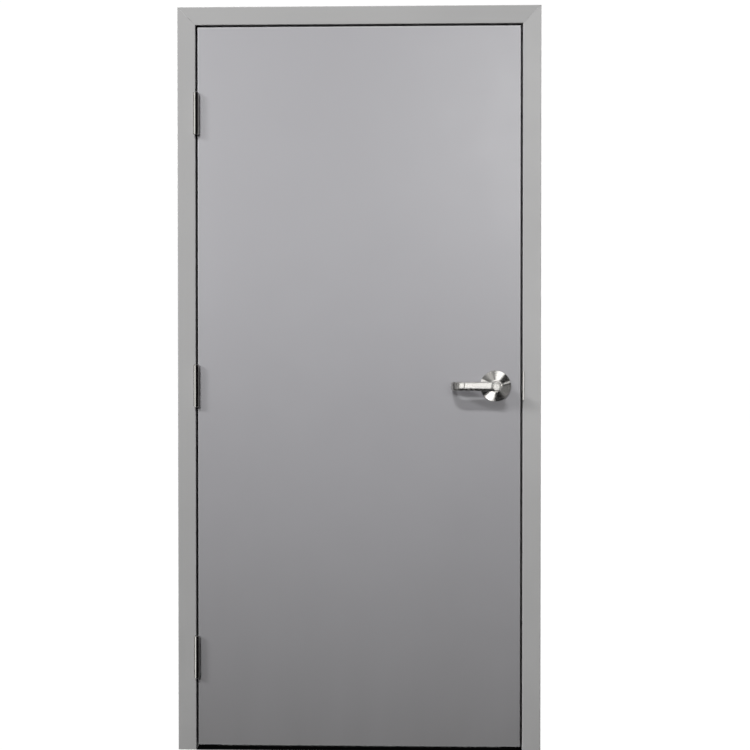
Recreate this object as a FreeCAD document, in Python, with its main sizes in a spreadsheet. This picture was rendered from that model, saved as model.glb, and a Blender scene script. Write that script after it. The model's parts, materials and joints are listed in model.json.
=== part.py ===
import FreeCAD, Part
import math
import os
import re
import Sketcher

# Steel utility door: a flush hollow-metal leaf on three butt hinges in a folded steel frame,
# with a lever lockset and its strike.
# +Z is up and +X runs from the hinge side to the lock side.
# The pull face, where the hinge barrels show, looks to -Y.
# The origin is the middle of the underside of the hinge-side floor anchor. All sizes are in millimetres.

doc = FreeCAD.newDocument("steel_utility_door")

# Driving sizes, one cell each
SIZES = (
    # frame
    ("opening_width", 914.4, "rabbet to rabbet"),
    ("opening_height", 2032.0, "floor to head rabbet"),
    ("face_width", 50.8, "visible face of the frame"),
    ("jamb_depth", 146.05, "face to face through the wall"),
    ("backbend", 12.7, "return of each face into the wall"),
    ("stop_height", 15.9, "how far the stop stands into the opening"),
    ("stop_clearance", 5.0, "leaf to stop, taken up by the silencers"),
    ("frame_sheet", 1.5, "sheet of the frame"),
    ("frame_bend", 1.0, "inside radius of the frame's bends"),
    ("mitre_gap", 0.4, "hairline at the mitred corners"),
    # leaf
    ("leaf_thickness", 44.45, "door leaf"),
    ("side_gap", 6.0, "leaf to jamb"),
    ("head_gap", 6.5, "leaf to head"),
    ("undercut", 15.0, "floor to leaf"),
    ("skin_sheet", 1.2, "sheet of the leaf"),
    ("skin_bend", 0.8, "inside radius of the leaf's bends"),
    ("skin_seam", 0.4, "joint between the two skins on the edges"),
    ("lock_bevel", 2.8, "taper of the lock edge over the leaf's thickness"),
    ("channel_height", 19.0, "top and bottom channels"),
    ("channel_sheet", 1.5, "sheet of the channels"),
    ("channel_end_gap", 1.0, "channel to the edge skins"),
    # hinges
    ("top_hinge_drop", 247.65, "head rabbet to the top hinge's middle"),
    ("bottom_hinge_rise", 263.5, "floor to the bottom hinge's middle"),
    ("hinge_height", 114.3, "length of the hinge leaves"),
    ("hinge_plate", 3.4, "thickness of the hinge leaves"),
    ("hinge_leaf_depth", 38.1, "hinge leaf behind the pull face"),
    ("hinge_axis_offset", 10.0, "pin axis in front of the pull face"),
    ("barrel_radius", 7.95, "knuckles"),
    ("barrel_relief", 1.0, "hinge plate to the other leaf's knuckles"),
    ("knuckle_gap", 0.3, "between knuckles"),
    ("pin_radius", 4.0, "hinge pin"),
    ("pin_clearance", 0.05, "hinge pin in its bore"),
    ("pin_tip_radius", 6.6, "button at each end of the pin"),
    ("pin_tip_height", 3.0, "button at each end of the pin"),
    ("pin_tip_chamfer", 1.4, "rounding of the button"),
    ("prep_clearance", 0.3, "hardware in its cut-out"),
    ("reinforcement_length", 230.0, "hinge reinforcement in the jamb"),
    ("reinforcement_plate", 6.0, "hinge reinforcement in the jamb"),
    # lock
    ("lever_height", 1023.94, "floor to the spindle"),
    ("backset", 69.85, "lock edge to the spindle"),
    ("cross_bore_radius", 27.0, "hole through the leaf for the lock"),
    ("chassis_clearance", 0.5, "lock body in its hole"),
    ("rose_radius", 43.0, "foot of the conical rose"),
    ("rose_rim", 3.5, "upright rim of the rose"),
    ("rose_depth", 22.0, "leaf face to the nose of the rose"),
    ("rose_nose_radius", 17.5, "nose of the rose"),
    ("rose_wall", 1.6, "shell of the rose"),
    ("neck_radius", 11.0, "lever sleeve in the rose"),
    ("neck_clearance", 0.3, "lever sleeve to the rose and the lock body"),
    ("hub_gap", 1.0, "hub to the nose of the rose"),
    ("hub_radius", 14.0, "round end of the lever"),
    ("lever_projection", 64.0, "leaf face to the front of the lever"),
    ("lever_reach", 125.0, "spindle to the end of the lever"),
    ("bar_height", 21.0, "lever bar"),
    ("bar_thickness", 12.0, "lever bar"),
    ("bar_edge", 3.2, "rounding of the lever's edges"),
    ("flare_length", 38.0, "where the bar widens to the hub"),
    ("return_bend", 33.0, "outside radius of the lever's return"),
    ("return_gap", 14.0, "leaf face to the end of the return"),
    ("groove_width", 1.0, "line round the bar at the return"),
    ("groove_depth", 0.5, "line round the bar at the return"),
    ("cylinder_radius", 8.0, "key cylinder in the hub"),
    ("cylinder_recess", 0.8, "hub face to the key cylinder's face"),
    ("cylinder_length", 12.0, "key cylinder"),
    ("keyway_height", 9.0, "slot for the key"),
    ("keyway_width", 1.8, "slot for the key"),
    ("keyway_depth", 8.0, "slot for the key"),
    ("latch_plate_height", 57.15, "latch face plate"),
    ("latch_plate_width", 28.6, "latch face plate"),
    ("latch_plate_sheet", 2.4, "latch face plate"),
    ("latch_tube_radius", 11.5, "latch case"),
    ("bolt_height", 16.0, "latch bolt"),
    ("bolt_thickness", 12.0, "latch bolt"),
    ("bolt_length", 26.0, "latch bolt"),
    ("bolt_clearance", 0.25, "latch bolt in its case"),
    # strike
    ("strike_height", 123.8, "strike plate"),
    ("strike_width", 31.75, "strike plate"),
    ("strike_sheet", 3.0, "strike plate"),
    ("strike_hole_height", 32.0, "hole for the latch bolt"),
    ("strike_hole_width", 17.0, "hole for the latch bolt"),
    ("lip_height", 84.0, "lip of the strike"),
    ("lip_projection", 3.0, "lip in front of the pull face"),
    ("box_depth", 24.0, "box behind the strike"),
    ("box_wall", 1.2, "box behind the strike"),
    ("box_margin", 3.0, "strike plate to the box's walls"),
    # anchors and silencers
    ("anchor_foot", 38.1, "floor anchor's foot, across the wall's line"),
    ("anchor_length", 110.0, "floor anchor through the wall"),
    ("anchor_leg", 64.0, "floor anchor's upright leg"),
    ("anchor_sheet", 2.0, "floor anchor"),
    ("anchor_hole_radius", 5.5, "floor anchor's bolt holes"),
    ("anchor_hole_spacing", 70.0, "floor anchor's bolt holes"),
    ("stud_anchor_width", 112.0, "wall anchor through the wall"),
    ("stud_anchor_ear", 36.0, "wall anchor's ears"),
    ("stud_anchor_height", 50.0, "wall anchor"),
    ("stud_anchor_sheet", 1.2, "wall anchor"),
    ("top_anchor_drop", 62.0, "head rabbet to the top wall anchor's foot"),
    ("silencer_radius", 4.6, "rubber silencer"),
    ("silencer_gap", 0.3, "silencer to leaf"),
    ("silencer_inset", 6.5, "silencer from the stop's edge"),
)

HINGE_LEVELS = ("top", "middle", "bottom")
KNUCKLES = 5
FRAME_KNUCKLES = (0, 2, 4)
LEAF_KNUCKLES = (1, 3)

# Places and sizes that follow from the driving ones
DERIVED = {
    "rabbet_depth": "leaf_thickness + stop_clearance",
    "stop_width": "jamb_depth - 2 * rabbet_depth",
    "pull_face": "-jamb_depth / 2",
    "hinge_rabbet": "anchor_foot / 2 + frame_sheet",
    "strike_rabbet": "hinge_rabbet + opening_width",
    "leaf_left": "hinge_rabbet + side_gap",
    "leaf_right": "strike_rabbet - side_gap",
    "leaf_width": "opening_width - 2 * side_gap",
    "leaf_height": "opening_height - head_gap - undercut",
    "leaf_middle": "pull_face + leaf_thickness / 2",
    "push_face": "pull_face + leaf_thickness",
    "skin_return": "(leaf_thickness - skin_seam) / 2",
    "bevel_slope": "lock_bevel / leaf_thickness",
    "channel_width": "leaf_thickness - 2 * skin_sheet",
    "channel_length": "leaf_width - lock_bevel - 2 * skin_sheet - 2 * channel_end_gap",
    "hinge_axis_x": "hinge_rabbet + side_gap / 2",
    "hinge_axis_y": "pull_face - hinge_axis_offset",
    "plate_front": "hinge_axis_y + barrel_radius + barrel_relief",
    "plate_depth": "hinge_leaf_depth + hinge_axis_offset - barrel_radius - barrel_relief",
    "knuckle_height": "(hinge_height - %d * knuckle_gap) / %d" % (KNUCKLES - 1, KNUCKLES),
    "top_hinge": "opening_height - top_hinge_drop",
    "middle_hinge": "(opening_height - top_hinge_drop + bottom_hinge_rise) / 2",
    "bottom_hinge": "bottom_hinge_rise",
    "spindle_x": "leaf_right - backset",
    "chassis_radius": "cross_bore_radius - chassis_clearance",
    "strike_front": "leaf_middle - strike_width / 2",
    "latch_depth": "backset - lock_bevel / 2 - chassis_radius - neck_clearance",
}

sheet = doc.addObject("Spreadsheet::Sheet", "Sizes")
for row, (alias, value, note) in enumerate(SIZES, 1):
    sheet.set("A%d" % row, alias)
    sheet.set("B%d" % row, str(value))
    sheet.set("C%d" % row, note)
    sheet.setAlias("B%d" % row, alias)
doc.recompute()

ALIASES = {alias for alias, value, note in SIZES}
X_AXIS = FreeCAD.Vector(1, 0, 0)
Y_AXIS = FreeCAD.Vector(0, 1, 0)
# Turns that aim an upright cylinder along another axis
AIM = {
    "+z": FreeCAD.Rotation(),
    "-y": FreeCAD.Rotation(X_AXIS, 90),
    "+y": FreeCAD.Rotation(X_AXIS, -90),
    "-x": FreeCAD.Rotation(Y_AXIS, -90),
}
HALF_TURN = FreeCAD.Rotation(X_AXIS, 180)
HEADINGS = {"+x": (1, 0), "-x": (-1, 0), "+y": (0, 1), "-y": (0, -1)}

# Points nearer to each other than this are one point
TOUCHING = 1e-4

sub_parts = []


# Binding to the sheet
def bound(text):
    def cell(word):
        name = word.group()
        if name in DERIVED:
            return "(%s)" % bound(DERIVED[name])
        return "Sizes.%s" % name if name in ALIASES else name
    return re.sub(r"[a-z][a-z_]+", cell, text)


def bind(piece, **expressions):
    for name, text in expressions.items():
        piece.setExpression(name, bound(text))


def place(piece, corner, turn=None):
    if turn:
        piece.Placement = FreeCAD.Placement(FreeCAD.Vector(), turn)
    for axis, text in zip("xyz", corner):
        piece.setExpression("Placement.Base." + axis, bound(text))
    return piece


def keep(piece):
    sub_parts.append(piece)
    return piece


# Solids and booleans
def box(label, corner, size):
    piece = doc.addObject("Part::Box", label)
    bind(piece, Length=size[0], Width=size[1], Height=size[2])
    return place(piece, corner)


def cylinder(label, base, radius, length, aim="+z"):
    piece = doc.addObject("Part::Cylinder", label)
    bind(piece, Radius=radius, Height=length)
    return place(piece, base, AIM[aim])


def fused(label, pieces):
    piece = doc.addObject("Part::MultiFuse", label)
    piece.Shapes = pieces
    piece.Refine = True
    return piece


def cut(label, base, tools):
    piece = doc.addObject("Part::Cut", label)
    piece.Base = base
    piece.Tool = tools[0] if len(tools) == 1 else fused(label + "_cuts", tools)
    piece.Refine = True
    return piece


# Sketched bodies
def outline(body, label, plane, points, offset=None):
    sketch = body.newObject("Sketcher::SketchObject", label)
    support = [feature for feature in body.Origin.OriginFeatures if feature.Role == plane]
    sketch.AttachmentSupport = (support[0], [""])
    sketch.MapMode = "FlatFace"
    if offset:
        sketch.setExpression("AttachmentOffset.Base.z", bound(offset))
    count = len(points)
    angles = [math.tau * i / count for i in range(count)]
    ring = [FreeCAD.Vector(math.cos(angle), math.sin(angle)) for angle in angles]
    for i in range(count):
        sketch.addGeometry(Part.LineSegment(ring[i], ring[(i + 1) % count]))
    for i in range(count):
        sketch.addConstraint(Sketcher.Constraint("Coincident", i, 2, (i + 1) % count, 1))
    for i, (across, up) in enumerate(points):
        for kind, guess, text in (("DistanceX", ring[i].x, across), ("DistanceY", ring[i].y, up)):
            number = sketch.addConstraint(Sketcher.Constraint(kind, -1, 1, i, 1, guess))
            sketch.setExpression("Constraints[%d]" % number, bound(text))
    return sketch


def padded(label, plane, points, length, offset=None, symmetric=False):
    body = doc.addObject("PartDesign::Body", label)
    sketch = outline(body, label + "_outline", plane, points, offset)
    add_pad(body, label + "_pad", sketch, length, symmetric)
    return body, sketch


def add_pad(body, label, sketch, length, symmetric=False):
    pad = body.newObject("PartDesign::Pad", label)
    pad.Profile = sketch
    pad.SideType = "Symmetric" if symmetric else "One side"
    bind(pad, Length=length)
    doc.recompute()


def pocket_through(body, label, plane, points):
    before = body.Shape.Volume
    pocket = body.newObject("PartDesign::Pocket", label)
    pocket.Profile = outline(body, label + "_outline", plane, points)
    pocket.Type = "ThroughAll"
    pocket.SideType = "Symmetric"
    doc.recompute()
    if body.Shape.Volume >= before:
        raise RuntimeError(label + " cuts nothing")


def revolved(label, points):
    body = doc.addObject("PartDesign::Body", label)
    sketch = outline(body, label + "_outline", "XY_Plane", points)
    turned = body.newObject("PartDesign::Revolution", label + "_turned")
    turned.Profile = sketch
    turned.ReferenceAxis = (sketch, ["V_Axis"])
    turned.Angle = 360
    doc.recompute()
    return body, sketch


def add_fillet(body, label, radius, wanted):
    base = body.Tip
    names = ["Edge%d" % i for i, edge in enumerate(base.Shape.Edges, 1) if wanted(edge)]
    fillet = body.newObject("PartDesign::Fillet", label)
    fillet.Base = (base, names)
    bind(fillet, Radius=radius)
    doc.recompute()


# Edges that stand on the given corners of a padded outline
def edges_on(sketch, corners):
    spots = [sketch.Geometry[i].StartPoint for i in corners]
    to_sketch = sketch.Placement.inverse()

    def wanted(edge):
        ends = [to_sketch.multVec(vertex.Point) for vertex in edge.Vertexes]
        return len(ends) == 2 and any(
            all(math.hypot(end.x - spot.x, end.y - spot.y) < TOUCHING for end in ends) for spot in spots)
    return wanted


# Circles that a corner of a turned outline draws
def circles_on(sketch, corner):
    spot = sketch.Geometry[corner].StartPoint

    def wanted(edge):
        end = edge.Vertexes[0].Point
        off_circle = math.hypot(end.x, end.z) - abs(spot.x)
        return abs(off_circle) < TOUCHING and abs(end.y - spot.y) < TOUCHING
    return wanted


# Walks along the outside of a folded sheet, with the metal on the left, and gives the closed outline,
# the corners on the wide side of the bends and the corners on their tight side
def folded(start, moves, thickness):
    outside = [start]
    for heading, length in moves:
        across, up = outside[-1]
        right, ahead = HEADINGS[heading]
        if right:
            across = "%s + %d * (%s)" % (across, right, length)
        if ahead:
            up = "%s + %d * (%s)" % (up, ahead, length)
        outside.append((across, up))
    steps = [HEADINGS[heading] for heading, length in moves]
    last = len(moves)
    inside, wide, tight = [], [], []
    for i, (across, up) in enumerate(outside):
        beside = steps[max(i - 1, 0):i + 1]
        left = -sum(step[1] for step in beside)
        forward = sum(step[0] for step in beside)
        inside.append(("%s + %d * %s" % (across, left, thickness),
                       "%s + %d * %s" % (up, forward, thickness)))
        if 0 < i < last:
            turns_left = beside[0][0] * beside[1][1] - beside[0][1] * beside[1][0] > 0
            (wide if turns_left else tight).append(i)
            (tight if turns_left else wide).append(2 * last + 1 - i)
    return outside + inside[::-1], wide, tight


def round_bends(body, sketch, wide, tight, radius, thickness):
    add_fillet(body, body.Label + "_wide_bends", "%s + %s" % (radius, thickness), edges_on(sketch, wide))
    add_fillet(body, body.Label + "_tight_bends", radius, edges_on(sketch, tight))


def flipped(points):
    return [("-(%s)" % across, up) for across, up in points]


# Frame
def frame_section():
    moves = (("-y", "backbend"), ("+x", "face_width"), ("+y", "rabbet_depth"), ("+x", "stop_height"),
             ("+y", "stop_width"), ("-x", "stop_height"), ("+y", "rabbet_depth"), ("-x", "face_width"),
             ("-y", "backbend"))
    return folded(("-face_width", "backbend"), moves, "frame_sheet")


def jamb(label, rabbet, mirrored):
    section, wide, tight = frame_section()
    mitre = [("-2 * face_width", "opening_height - mitre_gap + 2 * face_width"),
             ("2 * stop_height", "opening_height - mitre_gap - 2 * stop_height"),
             ("2 * stop_height", "opening_height + 2 * face_width")]
    if mirrored:
        section = flipped(section)
        mitre = flipped(mitre)
    body, sketch = padded(label, "XY_Plane", section, "opening_height + face_width")
    round_bends(body, sketch, wide, tight, "frame_bend", "frame_sheet")
    pocket_through(body, label + "_mitre", "XZ_Plane", mitre)
    return place(body, (rabbet, "pull_face", "0"))


def head(label):
    section, wide, tight = frame_section()
    upright = [(up, "-(%s)" % across) for across, up in section]
    length = "opening_width + 2 * face_width"
    body, sketch = padded(label, "YZ_Plane", upright, length)
    round_bends(body, sketch, wide, tight, "frame_bend", "frame_sheet")
    mitre = [("-face_width", "2 * face_width"), ("face_width + 2 * stop_height", "-2 * stop_height"),
             ("-face_width", "-2 * stop_height")]
    pocket_through(body, label + "_hinge_mitre", "XZ_Plane", mitre)
    far_mitre = [("%s - (%s)" % (length, across), up) for across, up in mitre]
    pocket_through(body, label + "_strike_mitre", "XZ_Plane", far_mitre)
    return place(body, ("hinge_rabbet - face_width", "pull_face", "opening_height"))


# Room for one hinge leaf, in the jamb or in the leaf's edge
def hinge_prep(label, centre, left, width):
    corner = (left, "pull_face - hinge_axis_offset", "%s - hinge_height / 2 - prep_clearance" % centre)
    size = (width, "hinge_axis_offset + hinge_leaf_depth + prep_clearance",
            "hinge_height + 2 * prep_clearance")
    return box(label, corner, size)


def jamb_prep(label, centre):
    return hinge_prep(label, centre, "hinge_rabbet - hinge_plate", "hinge_plate + side_gap")


def hinge_reinforcement(label, centre):
    corner = ("hinge_rabbet - frame_sheet - reinforcement_plate",
              "pull_face + frame_sheet + 2 * frame_bend", "%s - reinforcement_length / 2" % centre)
    size = ("reinforcement_plate", "rabbet_depth - frame_sheet - 2 * frame_bend", "reinforcement_length")
    return cut(label, box(label + "_blank", corner, size), [jamb_prep(label + "_seat", centre)])


# Room for the strike plate and its lip in the strike jamb
def strike_prep(label):
    back = "leaf_middle + strike_width / 2 + prep_clearance"
    plate = box(label + "_plate", ("strike_rabbet - side_gap", "strike_front - prep_clearance",
                                   "lever_height - strike_height / 2 - prep_clearance"),
                ("side_gap + strike_sheet", "%s - (strike_front - prep_clearance)" % back,
                 "strike_height + 2 * prep_clearance"))
    lip = box(label + "_lip", ("strike_rabbet - side_gap", "pull_face - lip_projection",
                               "lever_height - lip_height / 2 - prep_clearance"),
              ("side_gap + strike_sheet", "strike_front - pull_face + lip_projection",
               "lip_height + 2 * prep_clearance"))
    return [plate, lip]


def strike_plate(label):
    plate = box(label + "_plate", ("strike_rabbet", "strike_front", "lever_height - strike_height / 2"),
                ("strike_sheet", "strike_width", "strike_height"))
    depth = "strike_front - pull_face + lip_projection"
    corners = [("0", "-lip_height / 2"), (depth, "-lip_height / 2"), (depth, "lip_height / 2"),
               ("0", "lip_height / 2")]
    lip, sketch = padded(label + "_lip", "YZ_Plane", corners, "strike_sheet")
    add_fillet(lip, label + "_lip_corners", "strike_sheet", edges_on(sketch, (0, 3)))
    place(lip, ("strike_rabbet", "pull_face - lip_projection", "lever_height"))
    hole = box(label + "_hole", ("strike_rabbet", "leaf_middle - strike_hole_width / 2",
                                 "lever_height - strike_hole_height / 2"),
               ("strike_sheet", "strike_hole_width", "strike_hole_height"))
    return cut(label, fused(label + "_solid", [plate, lip]), [hole])


def strike_box(label):
    width = "strike_width + 2 * box_margin"
    height = "strike_height + 2 * box_margin"
    left = "strike_rabbet + frame_sheet"
    front = "strike_front - box_margin"
    base = "lever_height - strike_height / 2 - box_margin"
    shell = box(label + "_shell", (left, front + " - box_wall", base + " - box_wall"),
                ("box_depth", width + " + 2 * box_wall", height + " + 2 * box_wall"))
    inside = box(label + "_inside", (left, front, base), ("box_depth - box_wall", width, height))
    return cut(label, shell, [inside] + strike_prep(label + "_room"))


# Anchors: the foot takes the floor bolts and the leg lies on the inside of the rabbets
def floor_anchor(label, middle, leg):
    foot = box(label + "_foot", (middle + " - anchor_foot / 2", "-anchor_length / 2", "0"),
               ("anchor_foot", "anchor_length", "anchor_sheet"))
    upright = box(label + "_leg", (leg, "-anchor_length / 2", "0"),
                  ("anchor_sheet", "anchor_length", "anchor_leg"))
    holes = [cylinder("%s_%s_hole" % (label, name), (middle, "%d * anchor_hole_spacing / 2" % side, "0"),
                      "anchor_hole_radius", "anchor_sheet") for name, side in (("front", -1), ("back", 1))]
    return cut(label, fused(label + "_solid", [foot, upright]), holes)


def wall_anchor(label, seat, base, mirrored):
    moves = (("+x", "stud_anchor_ear"), ("+y", "stud_anchor_width"), ("-x", "stud_anchor_ear"))
    points, wide, tight = folded(("-stud_anchor_ear", "-stud_anchor_width / 2"), moves, "stud_anchor_sheet")
    body, sketch = padded(label, "XY_Plane", flipped(points) if mirrored else points, "stud_anchor_height")
    round_bends(body, sketch, wide, tight, "frame_bend", "stud_anchor_sheet")
    return place(body, (seat, "0", base))


def silencer(label, level):
    seat = ("strike_rabbet - stop_height + silencer_inset", "pull_face + rabbet_depth", level)
    return cylinder(label, seat, "silencer_radius", "stop_clearance - silencer_gap", "-y")


# Hinges
def hinge_leaf(label, centre, plate_left, knuckles):
    low = "%s - hinge_height / 2" % centre
    pieces = [box(label + "_plate", (plate_left, "plate_front", low),
                  ("hinge_plate", "plate_depth", "hinge_height"))]
    for number in knuckles:
        foot = "%s + %d * (knuckle_height + knuckle_gap)" % (low, number)
        pieces.append(cylinder("%s_knuckle_%d" % (label, number), ("hinge_axis_x", "hinge_axis_y", foot),
                               "barrel_radius", "knuckle_height"))
        pieces.append(box("%s_strap_%d" % (label, number), (plate_left, "hinge_axis_y", foot),
                          ("hinge_plate", "barrel_radius + barrel_relief", "knuckle_height")))
    bore = cylinder(label + "_bore", ("hinge_axis_x", "hinge_axis_y", low),
                    "pin_radius + pin_clearance", "hinge_height")
    return cut(label, fused(label + "_solid", pieces), [bore])


def hinge_pin(label, centre):
    half = "hinge_height / 2"
    tip = "hinge_height / 2 + pin_tip_height"
    shoulder = tip + " - pin_tip_chamfer"
    narrow = "pin_tip_radius - pin_tip_chamfer"
    points = [("0", "-(%s)" % tip), (narrow, "-(%s)" % tip), ("pin_tip_radius", "-(%s)" % shoulder),
              ("pin_tip_radius", "-(%s)" % half), ("pin_radius", "-(%s)" % half), ("pin_radius", half),
              ("pin_tip_radius", half), ("pin_tip_radius", shoulder), (narrow, tip), ("0", tip)]
    body, sketch = revolved(label, points)
    return place(body, ("hinge_axis_x", "hinge_axis_y", centre), AIM["-y"])


# Leaf
def leaf_cuts(label):
    cuts = [hinge_prep("%s_%s_hinge" % (label, level), level + "_hinge",
                       "leaf_left - side_gap", "side_gap + hinge_plate") for level in HINGE_LEVELS]
    cuts.append(box(label + "_latch_window",
                    ("leaf_right - lock_bevel - 2 * skin_sheet",
                     "leaf_middle - latch_plate_width / 2 - prep_clearance",
                     "lever_height - latch_plate_height / 2 - prep_clearance"),
                    ("lock_bevel + 2 * skin_sheet + side_gap", "latch_plate_width + 2 * prep_clearance",
                     "latch_plate_height + 2 * prep_clearance")))
    cuts.append(cylinder(label + "_cross_bore", ("spindle_x", "pull_face", "lever_height"),
                         "cross_bore_radius", "leaf_thickness", "+y"))
    return cuts


# A tray with a return on the hinge edge and one on the bevelled lock edge
def skin(label, points):
    body, sketch = padded(label + "_blank", "XY_Plane", points, "leaf_height")
    round_bends(body, sketch, (0, 1), (4, 5), "skin_bend", "skin_sheet")
    place(body, ("leaf_left", "pull_face", "undercut"))
    return cut(label, body, leaf_cuts(label))


def lock_edge(depth, inset="0"):
    return "leaf_width - %s - bevel_slope * (%s)" % (inset, depth)


def pull_skin(label):
    return skin(label, [("0", "0"), (lock_edge("0"), "0"), (lock_edge("skin_return"), "skin_return"),
                        (lock_edge("skin_return", "skin_sheet"), "skin_return"),
                        (lock_edge("skin_sheet", "skin_sheet"), "skin_sheet"), ("skin_sheet", "skin_sheet"),
                        ("skin_sheet", "skin_return"), ("0", "skin_return")])


def push_skin(label):
    inner = "leaf_thickness - skin_sheet"
    seam = "leaf_thickness - skin_return"
    return skin(label, [("0", "leaf_thickness"), (lock_edge("leaf_thickness"), "leaf_thickness"),
                        (lock_edge(seam), seam), (lock_edge(seam, "skin_sheet"), seam),
                        (lock_edge(inner, "skin_sheet"), inner), ("skin_sheet", inner),
                        ("skin_sheet", seam), ("0", seam)])


def channel(label, base, opens_up):
    floor, lip = ("0", "channel_height") if opens_up else ("channel_height", "0")
    web = "channel_sheet" if opens_up else "channel_height - channel_sheet"
    inner = "channel_width - channel_sheet"
    points = [("0", floor), ("channel_width", floor), ("channel_width", lip), (inner, lip),
              (inner, web), ("channel_sheet", web), ("channel_sheet", lip), ("0", lip)]
    body, sketch = padded(label, "YZ_Plane", points, "channel_length")
    return place(body, ("leaf_left + skin_sheet + channel_end_gap", "pull_face + skin_sheet", base))


# The latch is drawn in line with the bevelled lock edge, with its face plate at x = 0
def on_lock_edge(piece):
    place(piece, ("leaf_right - lock_bevel / 2", "leaf_middle", "lever_height"))
    piece.setExpression("Placement.Rotation.Angle", bound("atan(bevel_slope)"))
    return piece


def latch_case(label):
    plate = box(label + "_plate",
                ("-latch_plate_sheet", "-latch_plate_width / 2", "-latch_plate_height / 2"),
                ("latch_plate_sheet", "latch_plate_width", "latch_plate_height"))
    tube = cylinder(label + "_tube", ("-latch_plate_sheet", "0", "0"), "latch_tube_radius",
                    "latch_depth - latch_plate_sheet", "-x")
    room = box(label + "_room", ("-bolt_length - bolt_clearance", "-bolt_thickness / 2 - bolt_clearance",
                                 "-bolt_height / 2 - bolt_clearance"),
               ("bolt_length + bolt_clearance", "bolt_thickness + 2 * bolt_clearance",
                "bolt_height + 2 * bolt_clearance"))
    return on_lock_edge(cut(label, fused(label + "_solid", [plate, tube]), [room]))


# The nose is sloped on the pull side, so that the strike's lip pushes the bolt in as the leaf closes
def latch_bolt(label):
    points = [("-bolt_length", "-bolt_thickness / 2"), ("-bolt_thickness", "-bolt_thickness / 2"),
              ("0", "bolt_thickness / 2 - bolt_clearance"), ("0", "bolt_thickness / 2"),
              ("-bolt_length", "bolt_thickness / 2")]
    body, sketch = padded(label, "XY_Plane", points, "bolt_height", symmetric=True)
    return on_lock_edge(body)


def lock_chassis(label):
    return cylinder(label, ("spindle_x", "pull_face", "lever_height"), "chassis_radius",
                    "leaf_thickness", "+y")


# Trim is drawn for the pull side, with the leaf's face at y = 0,
# and half a turn about X puts it on the push side
def on_face(piece, push_side):
    if push_side:
        return place(piece, ("spindle_x", "push_face", "lever_height"), HALF_TURN)
    return place(piece, ("spindle_x", "pull_face", "lever_height"))


def rose(label, push_side):
    hole = "neck_radius + neck_clearance"
    points = [("rose_radius", "0"), ("rose_radius", "-rose_rim"), ("rose_nose_radius", "-rose_depth"),
              (hole, "-rose_depth"), (hole, "rose_wall - rose_depth"),
              ("rose_nose_radius - rose_wall / 2", "rose_wall - rose_depth"),
              ("rose_radius - rose_wall", "rose_wall / 2 - rose_rim"), ("rose_radius - rose_wall", "0")]
    body, sketch = revolved(label, points)
    add_fillet(body, label + "_rim", "rose_wall", circles_on(sketch, 1))
    add_fillet(body, label + "_nose", "rose_wall", circles_on(sketch, 2))
    return on_face(body, push_side)


def lever_bar(label):
    face = [("-lever_reach", "-bar_height / 2"), ("-flare_length", "-bar_height / 2"), ("0", "-hub_radius"),
            ("0", "hub_radius"), ("-flare_length", "bar_height / 2"), ("-lever_reach", "bar_height / 2")]
    body, sketch = padded(label, "XZ_Plane", face, "bar_thickness", "lever_projection - bar_thickness")
    arm = [("-lever_reach", "-lever_projection"), ("bar_thickness - lever_reach", "-lever_projection"),
           ("bar_thickness - lever_reach", "-return_gap"), ("-lever_reach", "-return_gap")]
    arm_sketch = outline(body, label + "_return_outline", "XY_Plane", arm)
    add_pad(body, label + "_return", arm_sketch, "bar_height", True)
    reach = sheet.get("lever_reach")
    depth = sheet.get("lever_projection")
    thick = sheet.get("bar_thickness")
    half = sheet.get("bar_height") / 2

    def upright(x, y):
        return lambda edge: all(math.hypot(end.X - x, end.Y - y) < TOUCHING for end in edge.Vertexes)

    def long_edge(edge):
        level = edge.BoundBox.ZLength < TOUCHING
        return level and all(abs(abs(end.Z) - half) < TOUCHING for end in edge.Vertexes)

    add_fillet(body, label + "_bend", "return_bend", upright(-reach, -depth))
    inner_corner = upright(thick - reach, thick - depth)
    add_fillet(body, label + "_inner_bend", "return_bend - bar_thickness", inner_corner)
    add_fillet(body, label + "_edges", "bar_edge", long_edge)
    return body


def lever(label, push_side):
    back = "-(rose_depth + hub_gap)"
    hub, sketch = revolved(label + "_hub", [("0", "-neck_clearance"), ("neck_radius", "-neck_clearance"),
                                            ("neck_radius", back), ("hub_radius", back),
                                            ("hub_radius", "-lever_projection"), ("0", "-lever_projection")])
    add_fillet(hub, label + "_hub_front", "bar_edge", circles_on(sketch, 4))
    cuts = [groove(label + "_groove")]
    if not push_side:
        cuts.append(cylinder(label + "_cylinder_seat", ("0", "-lever_projection", "0"),
                             "cylinder_radius + neck_clearance", "cylinder_recess + cylinder_length", "+y"))
    return on_face(cut(label, fused(label + "_solid", [lever_bar(label + "_bar"), hub]), cuts), push_side)


# A fine line round the bar, where its return starts to curve
def groove(label):
    left = "return_bend - lever_reach"
    ring = box(label + "_ring", (left, "-lever_projection - groove_depth", "-bar_height"),
               ("groove_width", "bar_thickness + 2 * groove_depth", "2 * bar_height"))
    core = box(label + "_core", (left, "groove_depth - lever_projection", "groove_depth - bar_height / 2"),
               ("groove_width", "bar_thickness - 2 * groove_depth", "bar_height - 2 * groove_depth"))
    return cut(label, ring, [core])


def key_cylinder(label):
    face = "cylinder_recess - lever_projection"
    plug = cylinder(label + "_plug", ("0", face, "0"), "cylinder_radius", "cylinder_length", "+y")
    slot = box(label + "_keyway", ("-keyway_width / 2", face, "-keyway_height / 2"),
               ("keyway_width", "keyway_depth", "keyway_height"))
    return on_face(cut(label, plug, [slot]), False)


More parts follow.
